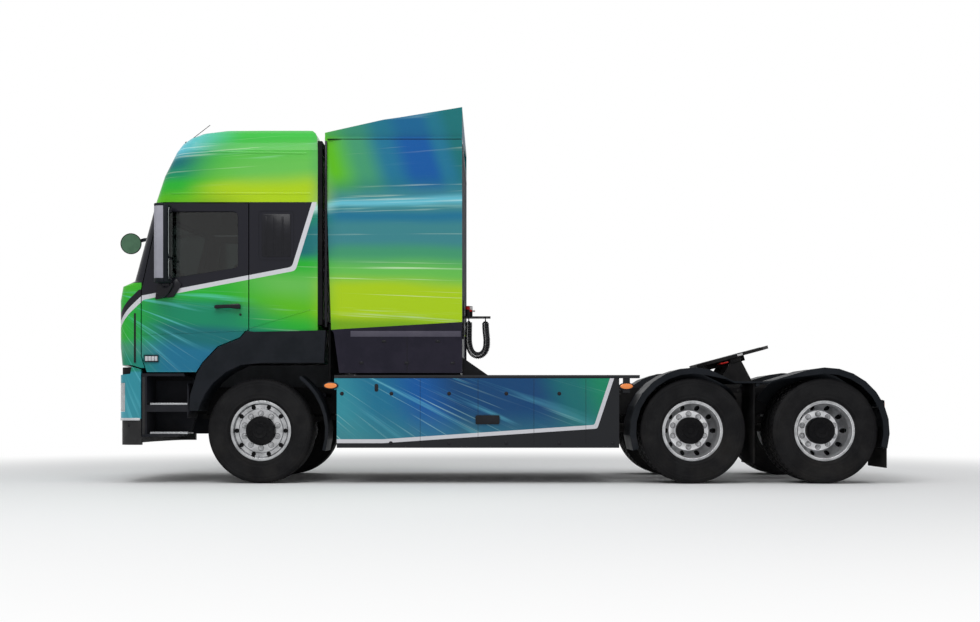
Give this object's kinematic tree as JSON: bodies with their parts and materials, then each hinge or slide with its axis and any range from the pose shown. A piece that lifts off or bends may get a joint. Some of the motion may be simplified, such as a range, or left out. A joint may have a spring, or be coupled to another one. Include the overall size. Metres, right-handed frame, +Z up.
{
  "type": "truck",
  "caption": "Cab-over battery tractor truck with high-roof sleeper cab, enclosed battery fairing, side skirts, twin-tyred drive axles and a tilting coupling plate.",
  "frame": {"origin": "centre of the bounding box's base, on the ground", "axes": "+X to the rear, the driver's side is -Y, +Z up"},
  "size_m": [8.531, 2.99, 3.853],
  "materials": {
    "cab_paint": "gloss",
    "fairing_paint": "gloss",
    "skirt_paint": "gloss",
    "bumper_paint": "gloss",
    "dark_plastic": "satin",
    "grey_plastic": "satin",
    "frame_paint": "satin",
    "window_glass": "clear",
    "lamp_glass": "clear",
    "lamp_colour": "clear",
    "tyre": "matte",
    "polished_rim": "polished",
    "cast_metal": "rough",
    "seat_fabric": "woven",
    "inner_plastic": "grained",
    "pack_metal": "satin",
    "rubber": "matte"
  },
  "bodies": {
    "chassis": {"frame": "frame_paint", "bumper": "bumper_paint", "bumper_lower": "grey_plastic", "headlamps": "lamp_glass", "cab_steps": "grey_plastic", "front_axle": "cast_metal", "springs": "cast_metal", "drive_axles": "cast_metal", "drive_motor": "cast_metal", "battery_fairing": "fairing_paint", "fairing_base": "dark_plastic", "roof_deflector": "fairing_paint", "battery_packs": "pack_metal", "side_skirts": "skirt_paint", "front_mudguards": "dark_plastic", "rear_fenders": "grey_plastic", "mudflaps": "rubber", "lamps": "lamp_colour", "hose_stand": "cast_metal", "air_coils": "rubber", "coupling_base": "cast_metal", "cooling_unit": "pack_metal", "walkway": "cast_metal"},
    "cab": {"cab_shell": "cab_paint", "cab_roof": "cab_paint", "windscreen": "window_glass", "wheel_arches": "dark_plastic", "front_mirror": "dark_plastic", "gap_seal": "rubber", "seats": "seat_fabric", "dashboard": "inner_plastic"},
    "left_door": {"door_left": "cab_paint", "door_glass_left": "window_glass", "mirror_left": "dark_plastic"},
    "right_door": {"door_right": "cab_paint", "door_glass_right": "window_glass", "mirror_right": "dark_plastic"},
    "left_knuckle": {"knuckle_left": "cast_metal"},
    "right_knuckle": {"knuckle_right": "cast_metal"},
    "left_front_wheel": {"front_tyre_left": "tyre", "front_rim_left": "polished_rim"},
    "right_front_wheel": {"front_tyre_right": "tyre", "front_rim_right": "polished_rim"},
    "left_mid_wheels": {"mid_tyres_left": "tyre", "mid_rim_left": "polished_rim"},
    "right_mid_wheels": {"mid_tyres_right": "tyre", "mid_rim_right": "polished_rim"},
    "left_rear_wheels": {"rear_tyres_left": "tyre", "rear_rim_left": "polished_rim"},
    "right_rear_wheels": {"rear_tyres_right": "tyre", "rear_rim_right": "polished_rim"},
    "coupling_plate": {"fifth_wheel": "cast_metal"}
  },
  "joints": [
    {"name": "cab_tilt", "type": "hinge", "parent": "chassis", "child": "cab", "pos_m": [-3.5775, 0, 0.85], "axis": [0, -1, 0], "range_deg": [0, 50]},
    {"name": "left_door_hinge", "type": "hinge", "parent": "cab", "child": "left_door", "pos_m": [-3.4145, -1.245, 2], "axis": [0, 0, -1], "range_deg": [0, 70]},
    {"name": "right_door_hinge", "type": "hinge", "parent": "cab", "child": "right_door", "pos_m": [-3.4145, 1.245, 2], "axis": [0, 0, 1], "range_deg": [0, 70]},
    {"name": "steer_left", "type": "hinge", "parent": "chassis", "child": "left_knuckle", "pos_m": [-2.2155, -0.88, 0.54], "axis": [0, 0, 1], "range_deg": [-38, 38]},
    {"name": "steer_right", "type": "hinge", "parent": "chassis", "child": "right_knuckle", "pos_m": [-2.2155, 0.88, 0.54], "axis": [0, 0, 1], "range_deg": [-38, 38]},
    {"name": "left_front_spin", "type": "hinge", "parent": "left_knuckle", "child": "left_front_wheel", "pos_m": [-2.2155, -1.05, 0.54], "axis": [0, 1, 0], "continuous": true},
    {"name": "right_front_spin", "type": "hinge", "parent": "right_knuckle", "child": "right_front_wheel", "pos_m": [-2.2155, 1.05, 0.54], "axis": [0, 1, 0], "continuous": true},
    {"name": "left_mid_spin", "type": "hinge", "parent": "chassis", "child": "left_mid_wheels", "pos_m": [2.2095, -0.932, 0.54], "axis": [0, 1, 0], "continuous": true},
    {"name": "right_mid_spin", "type": "hinge", "parent": "chassis", "child": "right_mid_wheels", "pos_m": [2.2095, 0.932, 0.54], "axis": [0, 1, 0], "continuous": true},
    {"name": "left_rear_spin", "type": "hinge", "parent": "chassis", "child": "left_rear_wheels", "pos_m": [3.5595, -0.932, 0.54], "axis": [0, 1, 0], "continuous": true},
    {"name": "right_rear_spin", "type": "hinge", "parent": "chassis", "child": "right_rear_wheels", "pos_m": [3.5595, 0.932, 0.54], "axis": [0, 1, 0], "continuous": true},
    {"name": "coupling_tilt", "type": "hinge", "parent": "chassis", "child": "coupling_plate", "pos_m": [2.8095, 0, 1.25], "axis": [0, 1, 0], "range_deg": [0, 28]}
  ],
  "couplings": [
    {"joint": "steer_right", "follows": "steer_left", "ratio": 1}
  ]
}
